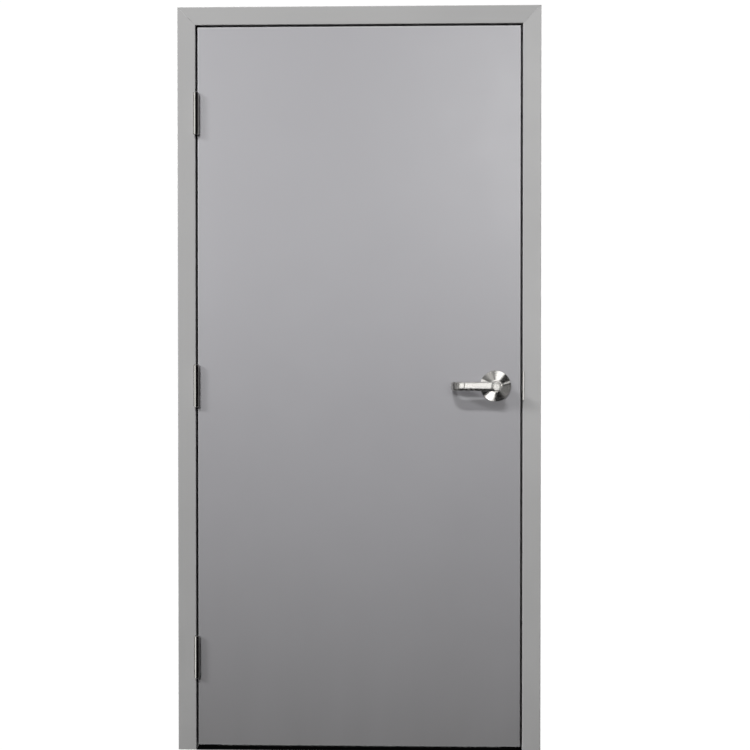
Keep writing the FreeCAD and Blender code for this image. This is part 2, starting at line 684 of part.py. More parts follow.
# Every sub-part
hinge_preps = [jamb_prep("hinge_jamb_%s_prep" % level, level + "_hinge") for level in HINGE_LEVELS]
keep(cut("hinge_jamb", jamb("hinge_jamb_blank", "hinge_rabbet", False), hinge_preps))
keep(cut("strike_jamb", jamb("strike_jamb_blank", "strike_rabbet", True), strike_prep("strike_jamb_prep")))
keep(head("frame_head"))
for level in HINGE_LEVELS:
    centre = level + "_hinge"
    keep(hinge_reinforcement(level + "_hinge_reinforcement", centre))
    keep(hinge_leaf(level + "_hinge_frame_leaf", centre, "hinge_rabbet - hinge_plate", FRAME_KNUCKLES))
    keep(hinge_leaf(level + "_hinge_door_leaf", centre, "leaf_left", LEAF_KNUCKLES))
    keep(hinge_pin(level + "_hinge_pin", centre))
keep(strike_plate("strike_plate"))
keep(strike_box("strike_box"))

hinge_seat = "hinge_rabbet - frame_sheet"
strike_seat = "strike_rabbet + frame_sheet"
hinge_foot = hinge_seat + " - anchor_foot / 2"
strike_foot = strike_seat + " + anchor_foot / 2"
keep(floor_anchor("hinge_side_floor_anchor", hinge_foot, hinge_seat + " - anchor_sheet"))
keep(floor_anchor("strike_side_floor_anchor", strike_foot, strike_seat))
anchor_bases = {
    "top": "opening_height - top_anchor_drop",
    "middle": "(top_hinge + middle_hinge - stud_anchor_height) / 2",
    "bottom": "(middle_hinge + bottom_hinge - stud_anchor_height) / 2",
}
for level, base in anchor_bases.items():
    keep(wall_anchor("hinge_side_%s_wall_anchor" % level, hinge_seat, base, False))
    keep(wall_anchor("strike_side_%s_wall_anchor" % level, strike_seat, base, True))
keep(silencer("top_silencer", "top_hinge"))
keep(silencer("middle_silencer", "lever_height + strike_height"))
keep(silencer("bottom_silencer", "bottom_hinge"))

keep(pull_skin("pull_skin"))
keep(push_skin("push_skin"))
keep(channel("top_channel", "undercut + leaf_height - channel_height", True))
keep(channel("bottom_channel", "undercut", False))
keep(latch_case("latch_case"))
keep(latch_bolt("latch_bolt"))
keep(lock_chassis("lock_chassis"))
keep(rose("outside_rose", False))
keep(rose("inside_rose", True))
keep(lever("outside_lever", False))
keep(lever("inside_lever", True))
keep(key_cylinder("key_cylinder"))

doc.recompute()
faults = [item.Label for item in doc.Objects if "Invalid" in item.State or "Error" in item.State]
faults += [piece.Label for piece in sub_parts if piece.Shape.isNull() or not piece.Shape.isValid()]
if faults:
    raise RuntimeError("these failed: " + ", ".join(faults))

os.makedirs("parts", exist_ok=True)
for piece in sub_parts:
    piece.Shape.exportStep("parts/%s.step" % piece.Label)
    print("%-32s %d solid  %9.1f mm3" % (piece.Label, len(piece.Shape.Solids), piece.Shape.Volume))
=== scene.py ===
import json
import math

import bmesh
import bpy
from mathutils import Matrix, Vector


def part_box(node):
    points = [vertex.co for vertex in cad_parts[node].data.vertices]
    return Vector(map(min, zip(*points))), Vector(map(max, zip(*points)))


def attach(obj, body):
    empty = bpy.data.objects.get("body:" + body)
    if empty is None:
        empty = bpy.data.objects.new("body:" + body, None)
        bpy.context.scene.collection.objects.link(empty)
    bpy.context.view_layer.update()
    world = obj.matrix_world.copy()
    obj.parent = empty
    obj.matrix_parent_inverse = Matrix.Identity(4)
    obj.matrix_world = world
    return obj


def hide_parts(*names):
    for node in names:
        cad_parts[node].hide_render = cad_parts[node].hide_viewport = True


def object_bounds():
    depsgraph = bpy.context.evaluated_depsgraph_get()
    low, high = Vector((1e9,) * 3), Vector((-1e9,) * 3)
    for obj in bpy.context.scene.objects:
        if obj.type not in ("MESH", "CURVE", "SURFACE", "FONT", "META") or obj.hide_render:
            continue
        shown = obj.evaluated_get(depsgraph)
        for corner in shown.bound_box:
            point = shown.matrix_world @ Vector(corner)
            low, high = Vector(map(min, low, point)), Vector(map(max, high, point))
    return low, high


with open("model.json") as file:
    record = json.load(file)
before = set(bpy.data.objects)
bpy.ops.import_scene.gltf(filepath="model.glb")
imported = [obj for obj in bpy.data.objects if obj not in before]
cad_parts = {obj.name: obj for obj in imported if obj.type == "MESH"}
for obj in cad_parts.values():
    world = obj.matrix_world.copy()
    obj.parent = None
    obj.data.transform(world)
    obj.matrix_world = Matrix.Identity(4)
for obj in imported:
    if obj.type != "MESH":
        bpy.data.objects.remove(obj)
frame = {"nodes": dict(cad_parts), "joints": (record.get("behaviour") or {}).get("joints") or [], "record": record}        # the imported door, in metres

cadLow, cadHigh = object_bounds()
parts = frame["nodes"]
joints = {joint["name"]: joint for joint in frame["joints"]}
print("door loaded:", len(parts), "pieces")

# places that the finishes and the small pieces are set out from
leafLow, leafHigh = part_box("pull_skin")
pullFace = leafLow.y
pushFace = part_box("push_skin")[1].y
spindle = Vector(joints["outside_lever_turn"]["pos_m"])
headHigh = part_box("frame_head")[1]
hingeNames = ("top", "middle", "bottom")
sideways = Vector((1.0, 0.0, 0.0))
inward = Vector((0.0, 1.0, 0.0))
upward = Vector((0.0, 0.0, 1.0))

# stretches of a noise's range: most of it, its middle and its peaks
mostNoise = (0.3, 0.7)
middleNoise = (0.35, 0.65)
peakNoise = (0.45, 0.75)


# node helpers: an input is either a plain value or another node's socket
def addNode(tree, kind, inputs=None, **settings):
    made = tree.nodes.new(kind)
    for name, value in settings.items():
        setattr(made, name, value)
    for name, value in (inputs or {}).items():
        if isinstance(value, bpy.types.NodeSocket):
            tree.links.new(value, made.inputs[name])
        else:
            made.inputs[name].default_value = value
    return made


def maths(tree, operation, first, second=0.0):
    return addNode(tree, "ShaderNodeMath", {0: first, 1: second}, operation=operation).outputs[0]


def product(tree, first, *others):
    for other in others:
        first = maths(tree, "MULTIPLY", first, other)
    return first


def apart(tree, first, second):
    return maths(tree, "ABSOLUTE", maths(tree, "SUBTRACT", first, second))


# distance inwards from the nearer of two limits
def within(tree, value, low, high):
    return maths(tree, "MINIMUM", maths(tree, "SUBTRACT", value, low), maths(tree, "SUBTRACT", high, value))


def spread(tree, value, fromLow, fromHigh, toLow=0.0, toHigh=1.0):
    limits = {0: value, 1: fromLow, 2: fromHigh, 3: toLow, 4: toHigh}
    return addNode(tree, "ShaderNodeMapRange", limits).outputs[0]


def mixed(tree, share, first, second):
    return addNode(tree, "ShaderNodeMix", {0: share, 6: first, 7: second}, data_type="RGBA").outputs[2]


def grain(tree, place, scale, detail, stretch=(1.0, 1.0, 1.0)):
    scaled = addNode(tree, "ShaderNodeMapping", {"Vector": place, "Scale": stretch}).outputs[0]
    noise = addNode(tree, "ShaderNodeTexNoise", {"Vector": scaled, "Scale": scale, "Detail": detail})
    return noise.outputs[0]


def bumped(tree, height, strength, distance):
    return addNode(tree, "ShaderNodeBump", {"Height": height, "Strength": strength, "Distance": distance})


def vectorMaths(tree, operation, first, second=(0.0, 0.0, 0.0)):
    return addNode(tree, "ShaderNodeVectorMath", {0: first, 1: second}, operation=operation).outputs


def split(tree, place):
    return addNode(tree, "ShaderNodeSeparateXYZ", {0: place}).outputs


def startFinish(name, metallic=0.0, gloss=0.5):
    finish = bpy.data.materials.new(name)
    finish.use_nodes = True
    tree = finish.node_tree
    shader = tree.nodes["Principled BSDF"]
    shader.inputs["Metallic"].default_value = metallic
    shader.inputs["Specular IOR Level"].default_value = gloss
    place = addNode(tree, "ShaderNodeTexCoord").outputs["Object"]
    return finish, tree, shader, place


def linkFinish(tree, shader, colour, rough, bump):
    tree.links.new(colour, shader.inputs["Base Color"])
    tree.links.new(rough, shader.inputs["Roughness"])
    tree.links.new(bump.outputs[0], shader.inputs["Normal"])


# sprayed enamel: slow clouding, orange peel, and the slight waves of pressed sheet
def sprayedCoat(tree, place, look):
    cloud = spread(tree, grain(tree, place, look["cloud"], detail=3.0), *mostNoise)
    colour = mixed(tree, cloud, look["shade"], look["colour"])
    waves = grain(tree, place, look["wave"], detail=1.0)
    peel = grain(tree, place, look["peel"], detail=1.0)
    wave = bumped(tree, waves, look["waveStrength"], look["waveHeight"])
    bump = bumped(tree, peel, look["peelStrength"], look["peelHeight"])
    tree.links.new(wave.outputs[0], bump.inputs["Normal"])
    rough = spread(tree, grain(tree, place, look["patch"], detail=2.0), *mostNoise, *look["roughness"])
    return colour, rough, bump


# paint thinned where a face folds into an edge, lightened also as a painted highlight along the fold
def rubAndHighlightFolds(tree, place, colour, fromEdge, depth, look):
    edge = spread(tree, fromEdge, 0.0, look["rubWidth"], 1.0, 0.0)
    onFold = spread(tree, depth, 0.0, look["rubWidth"], 1.0, 0.0)
    patches = grain(tree, place, look["rubGrain"], detail=3.0)
    broken = spread(tree, patches, *look["rubNoise"], *look["rubShare"])
    return mixed(tree, product(tree, edge, onFold, broken), colour, look["rubbedHighlight"])


leafPaint = {
    "colour": (0.318, 0.314, 0.331, 1.0),
    "shade": (0.303, 0.299, 0.315, 1.0),
    "gloss": 0.5,
    "roughness": (0.36, 0.40),
    "cloud": 1.7,
    "patch": 11.0,
    "peel": 620.0,
    "peelStrength": 0.10,
    "peelHeight": 0.0001,
    "wave": 1.9,
    "waveStrength": 0.08,
    "waveHeight": 0.0006,
    # paint thinned on the folds, lighter also as a painted edge highlight
    "rubbedHighlight": (0.43, 0.43, 0.44, 1.0),
    "rubWidth": 0.0045,
    "rubGrain": 40.0,
    "rubNoise": (0.25, 0.6),
    "rubShare": (0.45, 1.0),
    # painted shade in the gap along the hinge and top edges
    "dustAndShade": (0.12, 0.118, 0.115, 1.0),
    "dustAndShadeShare": 0.65,
    "edgeSkin": 0.002,                     # what lies this near an edge is in the gap
    "footShade": (0.150, 0.148, 0.150, 1.0),   # painted shade, darker towards the foot, with streaky marks
    "footShadeTop": 1.30,
    "footShadeCurve": 1.5,
    "footShadeShare": 0.90,
    "footRough": 0.12,
    "streak": (9.0, 9.0, 1.2),             # the marks run up the leaf
    "streakNoise": (0.2, 0.8),
    "streakShare": (0.94, 1.04),
    "handReach": 0.17,
    "handGrain": 55.0,
    "handNoise": (0.4, 0.7),
    "handRough": 0.12,
}


def makeLeafPaint(look):
    finish, tree, shader, place = startFinish("leafPaint", gloss=look["gloss"])
    colour, rough, bump = sprayedCoat(tree, place, look)
    axes = split(tree, place)
    across = within(tree, axes["X"], leafLow.x, leafHigh.x)
    along = within(tree, axes["Z"], leafLow.z, leafHigh.z)
    depth = within(tree, axes["Y"], pullFace, pushFace)
    colour = rubAndHighlightFolds(tree, place, colour, maths(tree, "MINIMUM", across, along), depth, look)
    # painted shade on the hinge edge and the top edge, which lie in the gap
    hingeEdge = maths(tree, "SUBTRACT", axes["X"], leafLow.x)
    topEdge = maths(tree, "SUBTRACT", leafHigh.z, axes["Z"])
    inGap = maths(tree, "LESS_THAN", maths(tree, "MINIMUM", hingeEdge, topEdge), look["edgeSkin"])
    dustedAndShaded = spread(tree, depth, look["rubWidth"] / 2, look["rubWidth"], 0.0, look["dustAndShadeShare"])
    colour = mixed(tree, product(tree, inGap, dustedAndShaded), colour, look["dustAndShade"])
    # painted shade that darkens the leaf towards the foot, broken by streaky marks
    low = spread(tree, axes["Z"], look["footShadeTop"], 0.0)
    foot = product(tree, maths(tree, "POWER", low, look["footShadeCurve"]), look["footShadeShare"])
    marks = grain(tree, place, 1.0, detail=4.0, stretch=look["streak"])
    streaks = spread(tree, marks, *look["streakNoise"], *look["streakShare"])
    colour = mixed(tree, product(tree, foot, streaks), colour, look["footShade"])
    # skin oil round the lever dulls the sheen
    away = vectorMaths(tree, "DISTANCE", place, (spindle.x, pullFace, spindle.z))["Value"]
    hands = spread(tree, away, 0.0, look["handReach"], 1.0, 0.0)
    prints = grain(tree, place, look["handGrain"], detail=4.0)
    smear = product(tree, hands, spread(tree, prints, *look["handNoise"], 0.0, look["handRough"]))
    rough = maths(tree, "ADD", maths(tree, "ADD", rough, smear), product(tree, foot, look["footRough"]))
    linkFinish(tree, shader, colour, rough, bump)
    return finish


framePaint = {
    "colour": (0.376, 0.374, 0.373, 1.0),
    "shade": (0.356, 0.354, 0.353, 1.0),
    "gloss": 0.35,
    "roughness": (0.51, 0.59),
    "cloud": 2.3,
    "patch": 14.0,
    "peel": 620.0,
    "peelStrength": 0.12,
    "peelHeight": 0.0001,
    "wave": 3.0,
    "waveStrength": 0.3,
    "waveHeight": 0.0004,
    "faceWidth": 0.0508,
    # paint thinned on the folds, lighter also as a painted edge highlight
    "rubbedHighlight": (0.50, 0.50, 0.505, 1.0),
    "rubWidth": 0.0030,
    "rubGrain": 45.0,
    "rubNoise": (0.25, 0.6),
    "rubShare": (0.2, 0.75),
    # painted shade in the rabbets beside the leaf
    "dustAndShade": (0.14, 0.138, 0.135, 1.0),
    "dustAndShadeShare": 0.65,
    "edgeSkin": 0.002,
    # painted shade, darker towards the foot, in patches
    "footShade": (0.24, 0.238, 0.235, 1.0),
    "footShadeTop": 1.2,
    "footShadeShare": 0.64,
    "footShadeGrain": 7.0,
    "footShadeNoise": (0.25, 0.75),
    "footShadePatch": (0.6, 1.0),
    "seam": (0.27, 0.27, 0.272, 1.0),      # filler line in the mitres
    "seamWidth": 0.0016,
    "seamShare": 0.3,
}


def makeFramePaint(look):
    finish, tree, shader, place = startFinish("framePaint", gloss=look["gloss"])
    colour, rough, bump = sprayedCoat(tree, place, look)
    axes = split(tree, place)
    # painted shade that darkens the frame towards the foot, in patches
    low = spread(tree, axes["Z"], look["footShadeTop"], 0.0, 0.0, look["footShadeShare"])
    blotches = grain(tree, place, look["footShadeGrain"], detail=4.0)
    patches = spread(tree, blotches, *look["footShadeNoise"], *look["footShadePatch"])
    colour = mixed(tree, product(tree, low, patches), colour, look["footShade"])
    # distances from the fold of each face, past the side and past the top of the doorway
    halfWide = (cadHigh.x - cadLow.x) / 2 - look["faceWidth"]
    pastSide = maths(tree, "SUBTRACT", apart(tree, axes["X"], (cadLow.x + cadHigh.x) / 2), halfWide)
    pastTop = maths(tree, "SUBTRACT", axes["Z"], headHigh.z - look["faceWidth"])
    fold = maths(tree, "ABSOLUTE", maths(tree, "MAXIMUM", pastSide, pastTop))
    depth = within(tree, axes["Y"], pullFace, cadHigh.y)
    colour = rubAndHighlightFolds(tree, place, colour, fold, depth, look)
    # painted shade in the rabbets behind the hinges and over the leaf
    onRabbet = maths(tree, "LESS_THAN", fold, look["edgeSkin"])
    hingeSide = maths(tree, "LESS_THAN", axes["X"], leafHigh.x)
    besideLeaf = maths(tree, "LESS_THAN", axes["Y"], pushFace)
    rabbetShade = spread(tree, depth, look["rubWidth"], look["rubWidth"] * 2, 0.0, look["dustAndShadeShare"])
    colour = mixed(tree, product(tree, onRabbet, hingeSide, rabbetShade, besideLeaf), colour, look["dustAndShade"])
    # the mitres run at 45 degrees from the fold's corner to the outer corner
    seam = spread(tree, apart(tree, pastSide, pastTop), 0.0, look["seamWidth"], look["seamShare"], 0.0)
    onCorner = maths(tree, "GREATER_THAN", pastTop, 0.0)
    colour = mixed(tree, product(tree, seam, onCorner), colour, look["seam"])
    linkFinish(tree, shader, colour, rough, bump)
    return finish


# handling marks that dull a metal in spots
def smudged(tree, place, look):
    smudges = grain(tree, place, look["smudge"], detail=4.0)
    return spread(tree, smudges, *peakNoise, 0.0, look["smudgeRough"])


# brushed metal has fine lines along one direction
def makeBrushedMetal(name, look):
    finish, tree, shader, place = startFinish(name, metallic=1.0)
    lines = grain(tree, place, 1.0, detail=5.0, stretch=look["brush"])
    cloud = spread(tree, grain(tree, place, look["cloud"], detail=3.0), *mostNoise)
    colour = mixed(tree, cloud, look["shade"], look["colour"])
    colour = mixed(tree, spread(tree, lines, *middleNoise, 0.0, look["lineShare"]), colour, look["line"])
    rough = spread(tree, lines, *mostNoise, *look["roughness"])
    rough = maths(tree, "ADD", rough, smudged(tree, place, look))
    linkFinish(tree, shader, colour, rough, bumped(tree, lines, look["lineStrength"], look["lineHeight"]))
    return finish


hingeSteel = {
    "colour": (0.46, 0.45, 0.43, 1.0),
    "shade": (0.40, 0.39, 0.37, 1.0),
    "line": (0.34, 0.33, 0.31, 1.0),
    "brush": (700.0, 700.0, 9.0),          # lines run up the knuckles
    "cloud": 60.0,
    "smudge": 130.0,
    "smudgeRough": 0.04,
    "roughness": (0.15, 0.20),
    "lineShare": 0.2,
    "lineStrength": 0.01,
    "lineHeight": 0.00005,
}

satinTrim = {
    "colour": (0.70, 0.685, 0.655, 1.0),
    "shade": (0.67, 0.655, 0.63, 1.0),
    "line": (0.58, 0.57, 0.55, 1.0),
    "brush": (70.0, 2400.0, 2400.0),       # lines run along the lever
    "cloud": 45.0,
    "smudge": 110.0,
    "smudgeRough": 0.006,
    "roughness": (0.265, 0.275),
    "lineShare": 0.05,
    "lineStrength": 0.001,
    "lineHeight": 0.00005,
}

# the roses are spun, so their lines are rings about the spindle
spunTrim = {
    "colour": (0.72, 0.705, 0.68, 1.0),
    "shade": (0.63, 0.615, 0.59, 1.0),
    "rings": 2300.0,
    "ringStrength": 0.04,
    "ringHeight": 0.00004,
    "roughness": (0.19, 0.25),
    "anisotropy": 0.9,
    "glossTurn": 0.25,                     # a quarter turn, so the gloss runs across the rings
    "smudge": 90.0,
    "smudgeRough": 0.06,
}


def makeSpunTrim(look):
    finish, tree, shader, place = startFinish("spunTrim", metallic=1.0)
    shader.inputs["Anisotropic"].default_value = look["anisotropy"]
    shader.inputs["Anisotropic Rotation"].default_value = look["glossTurn"]
    turning = addNode(tree, "ShaderNodeTangent", direction_type="RADIAL", axis="Y")
    tree.links.new(turning.outputs[0], shader.inputs["Tangent"])
    fromSpindle = vectorMaths(tree, "SUBTRACT", place, spindle)[0]
    acrossSpindle = vectorMaths(tree, "MULTIPLY", fromSpindle, sideways + upward)[0]
    turns = maths(tree, "MULTIPLY", vectorMaths(tree, "LENGTH", acrossSpindle)["Value"], look["rings"])
    ringNoise = addNode(tree, "ShaderNodeTexNoise", {"W": turns, "Detail": 3.0}, noise_dimensions="1D")
    rings = ringNoise.outputs[0]
    colour = mixed(tree, spread(tree, rings, *mostNoise), look["shade"], look["colour"])
    rough = spread(tree, rings, *mostNoise, *look["roughness"])
    rough = maths(tree, "ADD", rough, smudged(tree, place, look))
    linkFinish(tree, shader, colour, rough, bumped(tree, rings, look["ringStrength"], look["ringHeight"]))
    return finish


primedSteel = {
    "colour": (0.30, 0.295, 0.285, 1.0),
    "shade": (0.21, 0.205, 0.20, 1.0),
    "bloom": (0.40, 0.385, 0.36, 1.0),
    "bloomNoise": (0.58, 0.72),
    "bloomShare": 0.6,
    "metallic": 0.35,
    "gloss": 0.4,
    "mottle": 38.0,
    "speck": 420.0,
    "speckStrength": 0.25,
    "speckHeight": 0.0001,
    "roughness": (0.52, 0.74),
}


def makePrimedSteel(look):
    finish, tree, shader, place = startFinish("primedSteel", look["metallic"], look["gloss"])
    mottle = grain(tree, place, look["mottle"], detail=5.0)
    speck = grain(tree, place, look["speck"], detail=2.0)
    colour = mixed(tree, spread(tree, mottle, *middleNoise), look["shade"], look["colour"])
    blooming = spread(tree, speck, *look["bloomNoise"], 0.0, look["bloomShare"])
    colour = mixed(tree, blooming, colour, look["bloom"])
    rough = spread(tree, mottle, *mostNoise, *look["roughness"])
    linkFinish(tree, shader, colour, rough, bumped(tree, speck, look["speckStrength"], look["speckHeight"]))
    return finish


greyRubber = {
    "colour": (0.085, 0.085, 0.088, 1.0),
    "dustAndShade": (0.16, 0.158, 0.155, 1.0),
    "dustGrain": 260.0,
    "dustAndShadeShare": 0.7,
    "gloss": 0.35,
    "roughness": (0.62, 0.82),
    "pore": 900.0,
    "poreStrength": 0.2,
    "poreHeight": 0.0001,
}


def makeGreyRubber(look):
    finish, tree, shader, place = startFinish("greyRubber", gloss=look["gloss"])
    dustAndShade = grain(tree, place, look["dustGrain"], detail=4.0)
    dustedAndShaded = spread(tree, dustAndShade, *peakNoise, 0.0, look["dustAndShadeShare"])
    colour = mixed(tree, dustedAndShaded, look["colour"], look["dustAndShade"])
    rough = spread(tree, dustAndShade, *mostNoise, *look["roughness"])
    pores = grain(tree, place, look["pore"], detail=2.0)
    linkFinish(tree, shader, colour, rough, bumped(tree, pores, look["poreStrength"], look["poreHeight"]))
    return finish


finishes = {
    "leaf_paint": makeLeafPaint(leafPaint),
    "frame_paint": makeFramePaint(framePaint),
    "hinge_steel": makeBrushedMetal("hingeSteel", hingeSteel),
    "satin_trim": makeBrushedMetal("satinTrim", satinTrim),
    "primed_steel": makePrimedSteel(primedSteel),
    "grey_rubber": makeGreyRubber(greyRubber),
}
spunFinish = makeSpunTrim(spunTrim)
for subpart in frame["record"]["subparts"]:
    for slot in parts[subpart["node"]].material_slots:
        slot.material = finishes[subpart["material_slot"]]
print("finishes made:", len(finishes) + 1)


# mesh helpers; a corner is (x, y, radius of its round)
def rounded(corners, steps=5):
    points = []
    for i, (x, y, radius) in enumerate(corners):
        here = Vector((x, y))
        if radius == 0.0:
            points.append(here)
            continue
        before = (Vector(corners[i - 1][:2]) - here).normalized()
        after = (Vector(corners[(i + 1) % len(corners)][:2]) - here).normalized()
        half = before.angle(after) / 2
        centre = here + (before + after).normalized() * (radius / math.sin(half))
        first = here + before * (radius / math.tan(half)) - centre
        last = here + after * (radius / math.tan(half)) - centre
        start = math.atan2(first.y, first.x)
        turn = math.atan2(first.x * last.y - first.y * last.x, first.dot(last))
        for step in range(steps + 1):
            angle = start + turn * step / steps
            points.append(centre + Vector((math.cos(angle), math.sin(angle))) * radius)
    return points


def joinRows(shape, low, high):
    count = max(len(low), len(high))
    for i in range(count):
        j = (i + 1) % count
        corners = (low[i % len(low)], low[j % len(low)], high[j % len(high)], high[i % len(high)])
        shape.faces.new(list(dict.fromkeys(corners)))


# turns a line of (radius, height) points about an axis; a point at radius 0 is a pole
def turned(shape, profile, centre, axis, steps, closed=False):
    side = axis.orthogonal().normalized()
    other = axis.cross(side)
    spokes = []
    for i in range(steps):
        angle = 2 * math.pi * i / steps
        spokes.append(side * math.cos(angle) + other * math.sin(angle))
    rows = []
    for radius, height in profile:
        foot = centre + axis * height
        count = steps if radius > 0.0 else 1
        rows.append([shape.verts.new(foot + spoke * radius) for spoke in spokes[:count]])
    for low, high in zip(rows, rows[1:]):
        joinRows(shape, low, high)
    if closed:
        joinRows(shape, rows[-1], rows[0])


def lofted(shape, rings):
    rows = [[shape.verts.new(point) for point in ring] for ring in rings]
    for low, high in zip(rows, rows[1:]):
        joinRows(shape, low, high)
    shape.faces.new(rows[0])
    shape.faces.new(rows[-1])


def meshObject(name, shape):
    bmesh.ops.recalc_face_normals(shape, faces=shape.faces)
    mesh = bpy.data.meshes.new(name)
    shape.to_mesh(mesh)
    shape.free()
    piece = bpy.data.objects.new(name, mesh)
    bpy.context.scene.collection.objects.link(piece)
    return piece


# joins or cuts a piece with tool meshes, which are then deleted
def combine(piece, tools):
    for tool, operation in tools:
        step = piece.modifiers.new(operation.lower(), "BOOLEAN")
        step.operation = operation
        step.solver = "EXACT"
        step.object = tool
    bpy.context.view_layer.update()
    whole = bpy.data.meshes.new_from_object(piece.evaluated_get(bpy.context.evaluated_depsgraph_get()))
    piece.modifiers.clear()
    piece.data = whole
    for tool, operation in tools:
        bpy.data.objects.remove(tool)


def dressPiece(piece, finish, body, replaced=(), sharpAngle=35.0):
    piece.data.shade_smooth()
    piece.data.set_sharp_from_angle(angle=math.radians(sharpAngle))
    piece.data.materials.clear()
    piece.data.materials.append(finish)
    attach(piece, body)
    if replaced:
        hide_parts(*replaced)
    return piece


rose = {
    "rim": 0.0035,
    "noseRadius": 0.0175,
    "wall": 0.0016,
    "hole": 0.0113,
    "rimRound": 0.0014,
    "noseRound": 0.0022,
    "holeRound": 0.0004,
    "steps": 144,
    "sharpAngle": 30.0,
}


def makeRose(name, look, outward, face):
    low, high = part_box(name)
    radius = (high.x - low.x) / 2
    depth = high.y - low.y
    wall = look["wall"]
    corners = [
        (radius, 0.0, 0.0),
        (radius, look["rim"], look["rimRound"]),
        (look["noseRadius"], depth, look["noseRound"]),
        (look["hole"], depth, look["holeRound"]),
        (look["hole"], depth - wall, 0.0),
        (look["noseRadius"] - wall / 2, depth - wall, 0.0),
        (radius - wall, look["rim"] - wall / 2, 0.0),
        (radius - wall, 0.0, 0.0),
    ]
    shape = bmesh.new()
    centre = Vector((spindle.x, face, spindle.z))
    turned(shape, rounded(corners), centre, outward, look["steps"], closed=True)
    piece = meshObject(name.replace("_rose", "_spun_rose"), shape)
    return dressPiece(piece, spunFinish, "leaf", [name], look["sharpAngle"])


roses = [makeRose("outside_rose", rose, -inward, pullFace), makeRose("inside_rose", rose, inward, pushFace)]
print("roses turned")


lever = {
    "barHeight": 0.0245,
    "barThickness": 0.0120,
    "crown": 5.5,             # squareness of the bar's section, in its upper half
    "underCrown": 3.0,        # and in its lower half
    "flush": 0.0003,          # bar below the front of the hub
    "flare": 0.078,           # length over which the bar narrows
    "flareSteps": 10,
    "bend": 0.024,            # outside radius of the return
    "bendSteps": 22,
    "returnGap": 0.014,       # end of the return to the leaf
    "endRound": 0.0030,
    "endSteps": 5,
    "grooveFromEnd": 0.036,
    "grooveWidth": 0.0034,
    "grooveDepth": 0.0012,
    "grooveFloor": 0.2,       # share of the groove's width that is flat
    "hubRadius": 0.0140,
    "hubRound": 0.0030,
    "hubBackRound": 0.0008,
    "hubGap": 0.0010,         # hub to the nose of the rose
    "hubStep": 0.0012,        # how much lower than the hub the bar starts
    "neckRadius": 0.0110,
    "seatRadius": 0.0083,     # hole that the key cylinder sits in
    "seatDepth": 0.0128,
    "seatBevel": 0.0012,
    "seatSpare": 0.001,       # how far the cutter stands out of the hub
    "sectionPoints": 56,
    "hubSteps": 96,
    "sharpAngle": 32.0,
}


def barSection(look, height, inset):
    points = []
    for i in range(look["sectionPoints"]):
        angle = 2 * math.pi * i / look["sectionPoints"]
        power = 2.0 / (look["crown"] if angle < math.pi else look["underCrown"])
        across = math.copysign(abs(math.cos(angle)) ** power, math.cos(angle))
        tall = math.copysign(abs(math.sin(angle)) ** power, math.sin(angle))
        points.append((across * (look["barThickness"] / 2 - inset), tall * (height / 2 - inset)))
    return points


# stations of the bar: reach from the spindle, distance off the leaf, turn, height and inset
def barStations(look, reach, projection):
    barHeight = look["barHeight"]
    middle = projection - look["flush"] - look["barThickness"] / 2
    stations = []
    # narrowing from the hub
    hubHeight = 2 * look["hubRadius"] - look["hubStep"]
    for step in range(look["flareSteps"] + 1):
        share = step / look["flareSteps"]
        eased = share * share * (3 - 2 * share)
        height = hubHeight + (barHeight - hubHeight) * eased
        stations.append((look["flare"] * share, middle, 0.0, height, 0.0))
    # the groove
    half = look["grooveWidth"] / 2
    floor = half * look["grooveFloor"]
    deep = look["grooveDepth"]
    for offset, inset in ((-half, 0.0), (-floor, deep), (floor, deep), (half, 0.0)):
        stations.append((reach - look["grooveFromEnd"] + offset, middle, 0.0, barHeight, inset))
    # the bend of the return
    turnAt = reach - look["bend"]
    bend = look["bend"] - look["barThickness"] / 2
    for step in range(look["bendSteps"] + 1):
        angle = math.pi / 2 * step / look["bendSteps"]
        off = middle - bend + bend * math.cos(angle)
        stations.append((turnAt + bend * math.sin(angle), off, angle, barHeight, 0.0))
    # its end, rounded over
    for step in range(look["endSteps"] + 1):
        angle = math.pi / 2 * step / look["endSteps"]
        off = look["returnGap"] + look["endRound"] * (1 - math.sin(angle))
        inset = look["endRound"] * (1 - math.cos(angle))
        stations.append((turnAt + bend, off, math.pi / 2, barHeight, inset))
    return stations


def hubProfile(look, clearance, projection):
    roseLow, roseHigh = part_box("outside_rose")
    back = roseHigh.y - roseLow.y + look["hubGap"]
    return rounded([
        (0.0, clearance, 0.0),
        (look["neckRadius"], clearance, 0.0),
        (look["neckRadius"], back, 0.0),
        (look["hubRadius"], back, look["hubBackRound"]),
        (look["hubRadius"], projection, look["hubRound"]),
        (0.0, projection, 0.0),
    ])


def seatProfile(look, projection):
    floor = projection - look["seatDepth"]
    mouth = look["seatRadius"] + look["seatBevel"]
    spare = look["seatSpare"]
    return [
        (0.0, floor),
        (look["seatRadius"], floor),
        (look["seatRadius"], projection - look["seatBevel"]),
        (mouth, projection),
        (mouth + spare, projection + spare),
        (0.0, projection + spare),
    ]


